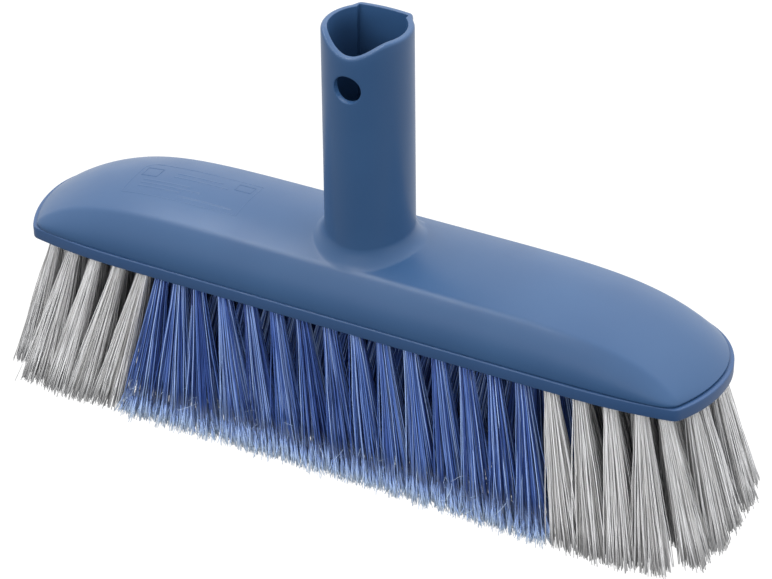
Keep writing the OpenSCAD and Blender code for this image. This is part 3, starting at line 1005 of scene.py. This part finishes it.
def filament(name, body_colour_and_shade_stops, tip_stops, paler, rough):
    """Extruded filament.

    The left half of the UV map colours whole filaments by a random tone, whose dark and pale ends
    are painted shade between filaments and painted highlights on them, and the right half colours
    their split ends along their length.
    """
    material, tree, shader = new_material(name)
    uv = node(tree, "ShaderNodeUVMap", uv_map=UV_NAME)
    split = node(tree, "ShaderNodeSeparateXYZ")
    tree.links.new(uv.outputs["UV"], split.inputs["Vector"])
    tone_and_shade, along = split.outputs["X"], split.outputs["Y"]
    tips = ramp(tree, along, tip_stops)
    # Whole filaments turn paler over the last of their length
    pale = node(tree, "ShaderNodeMix", data_type="RGBA")
    tree.links.new(ramp(tree, tone_and_shade, body_colour_and_shade_stops), pale.inputs["A"])
    pale.inputs["B"].default_value = tip_stops[-1][1]
    tree.links.new(remap(tree, along, (0.76, 0.92), (0, paler)), pale.inputs["Factor"])
    body = pale.outputs["Result"]
    is_tip = node(tree, "ShaderNodeMath", operation="GREATER_THAN")
    is_tip.inputs[1].default_value = HAIR_TONE - 0.005
    tree.links.new(tone_and_shade, is_tip.inputs[0])
    mix = node(tree, "ShaderNodeMix", data_type="RGBA")
    tree.links.new(is_tip.outputs["Value"], mix.inputs["Factor"])
    tree.links.new(body, mix.inputs["A"])
    tree.links.new(tips, mix.inputs["B"])
    tree.links.new(mix.outputs["Result"], shader.inputs["Base Color"])
    shader.inputs["Roughness"].default_value = rough
    shader.inputs["IOR"].default_value = 1.5
    return material


def drawn_steel():
    """Bright wire with fine scratches."""
    material, tree, shader = new_material("anchor_steel")
    where = node(tree, "ShaderNodeTexCoord").outputs["Object"]
    scratches = noise(tree, where, 900.0, 4.0)
    tree.links.new(ramp(tree, scratches, [(0.3, linear(150, 150, 148)),
                                          (0.7, linear(205, 204, 200))]),
                   shader.inputs["Base Color"])
    shader.inputs["Metallic"].default_value = 1.0
    gloss = remap(tree, scratches, CLOUD_RANGE, (0.28, 0.4))
    tree.links.new(gloss, shader.inputs["Roughness"])
    return material


COVER_PLASTIC = moulded_plastic("cover_satin", linear(42, 71, 107), linear(45, 75, 111), 0.36)
BLOCK_PLASTIC = moulded_plastic("block_satin", linear(40, 68, 105), linear(43, 71, 109), 0.4)
# Body stops run from near-navy to pale blue: partly the filaments' own colour, partly painted shade
# between them and painted highlights. Tip stops are the split ends' own paler colour.
BLUE_FILAMENT = filament(
    "blue_filament_gloss",
    [(0.0, linear(16, 28, 80)), (0.12, linear(58, 86, 158)), (0.32, linear(98, 130, 200)),
     (0.48, linear(172, 198, 242))],
    [(0.0, linear(112, 142, 204)), (0.35, linear(164, 188, 228)), (0.7, linear(196, 215, 240)),
     (1.0, linear(215, 229, 247))], 0.6, 0.34)
# Body stops: a narrower spread of the same painted shade and highlight over the grey's own colour.
GREY_FILAMENT = filament(
    "grey_filament_gloss",
    [(0.0, linear(170, 169, 167)), (0.15, linear(205, 204, 204)), (0.48, linear(239, 239, 240))],
    [(0.0, linear(200, 200, 202)), (1.0, linear(225, 225, 228))], 0.0, 0.42)
ANCHOR_STEEL = drawn_steel()


# ------------------------------------------------------------------ pieces

def make_cover():
    shell = Shell()
    cover_shell(shell)
    cover_ribs(shell)
    cover_marking(shell)
    obj = shell.build("top_cover_moulding", COVER_PLASTIC, 38)
    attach(obj, "root")
    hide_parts("top_cover")


def make_block():
    shell = Shell()
    block_shell(shell)
    obj = shell.build("bristle_block_moulding", BLOCK_PLASTIC, 40)
    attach(obj, "root")
    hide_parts("bristle_block")


make_cover()
make_block()
for row in ROWS:
    for part in ("left_grey", "blue", "right_grey"):
        make_filaments(row, part, BLUE_FILAMENT if part == "blue" else GREY_FILAMENT)
for name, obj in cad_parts.items():
    if name.startswith("anchors_"):
        for material_slot in obj.material_slots:
            material_slot.material = ANCHOR_STEEL


# ------------------------------------------------------------------ stage, light and camera

SKY_LOW, SKY_HIGH = 0.08, 1.6
CAMERA_TURN, CAMERA_HEIGHT, CAMERA_ROLL = (math.radians(a) for a in (27.6, 33.8, -0.56))
CAMERA_BACK = Vector((math.sin(CAMERA_TURN) * math.cos(CAMERA_HEIGHT),
                      -math.cos(CAMERA_TURN) * math.cos(CAMERA_HEIGHT),
                      math.sin(CAMERA_HEIGHT)))


def make_backdrop():
    """A white sheet that hangs well behind and below the head and lights it very little."""
    right = Vector((math.cos(CAMERA_TURN), math.sin(CAMERA_TURN), 0))
    up = CAMERA_BACK.cross(right)
    middle, half_wide, half_high = CAMERA_BACK * -1300, 420, 330
    corners = [middle + right * x * half_wide + up * y * half_high
               for x, y in ((-1, -1), (1, -1), (1, 1), (-1, 1))]
    material, _, shader = new_material("backdrop_white")
    shader.inputs["Base Color"].default_value = (0.02, 0.02, 0.02, 1)
    shader.inputs["Roughness"].default_value = 1.0
    shader.inputs["Emission Color"].default_value = (1, 1, 1, 1)
    shader.inputs["Emission Strength"].default_value = 1.05
    backdrop = new_object("backdrop", corners, np.arange(4), np.array([4]), material, smooth=False)
    backdrop.visible_diffuse = False


def area_light(name, place, size, power, target=(0, 0, 60), glossy=True):
    """A rectangular lamp that faces a target. One that isn't glossy leaves no reflection."""
    data = bpy.data.lights.new(name, "AREA")
    data.shape = "RECTANGLE"
    data.size, data.size_y = size[0] * MM, size[1] * MM
    data.energy = power
    light = bpy.data.objects.new(name, data)
    bpy.context.scene.collection.objects.link(light)
    at, aim = Vector(place) * MM, Vector(target) * MM
    light.location = at
    light.visible_glossy = glossy
    light.rotation_euler = (aim - at).to_track_quat("-Z", "Y").to_euler()


def make_camera():
    """The camera stands at a turn and a height round the head, and rolls a little."""
    distance, aim = 1034.5, Vector((6.94, 0, 63.9))
    right = Vector((math.cos(CAMERA_TURN), math.sin(CAMERA_TURN), 0))
    up = CAMERA_BACK.cross(right)
    rolled = right * math.cos(CAMERA_ROLL) + up * math.sin(CAMERA_ROLL)
    rolled_up = CAMERA_BACK.cross(rolled)
    matrix = Matrix((rolled, rolled_up, CAMERA_BACK)).transposed().to_4x4()
    matrix.translation = (aim + CAMERA_BACK * distance) * MM
    data = bpy.data.cameras.new("camera")
    data.sensor_width = 36.0
    data.lens = 126.4
    data.shift_x, data.shift_y = -0.0041, -0.0017
    data.clip_start, data.clip_end = 0.05, 50.0
    camera = bpy.data.objects.new("camera", data)
    bpy.context.scene.collection.objects.link(camera)
    camera.matrix_world = matrix
    bpy.context.scene.camera = camera


def make_world():
    """A soft sky that is brightest above and behind the head, and dim below and in front."""
    world = bpy.data.worlds.new("studio")
    bpy.context.scene.world = world
    world.use_nodes = True
    tree = world.node_tree
    where = node(tree, "ShaderNodeTexCoord")
    dot = node(tree, "ShaderNodeVectorMath", operation="DOT_PRODUCT")
    dot.inputs[1].default_value = Vector((-0.1, 0.6, 0.8)).normalized()
    tree.links.new(where.outputs["Generated"], dot.inputs[0])
    sky = tree.nodes["Background"]
    strength = remap(tree, dot.outputs["Value"], (-1, 1), (SKY_LOW, SKY_HIGH))
    tree.links.new(strength, sky.inputs["Strength"])
    sky.inputs["Color"].default_value = (0.96, 0.98, 1.0, 1)


make_backdrop()
make_world()
make_camera()
area_light("overhead", (160, 700, 1200), (1300, 700), 13, glossy=False)
area_light("ridge_strip", (-460, -130, 1050), (1200, 70), 4.5)
area_light("front", (-150, -980, 560), (900, 400), 6.8, (0, 0, 20), glossy=False)
area_light("right_side", (1050, -350, 300), (500, 400), 3.4, (110, 0, 40), glossy=False)
bpy.context.scene.view_settings.view_transform = "Standard"
bpy.context.scene.view_settings.look = "None"
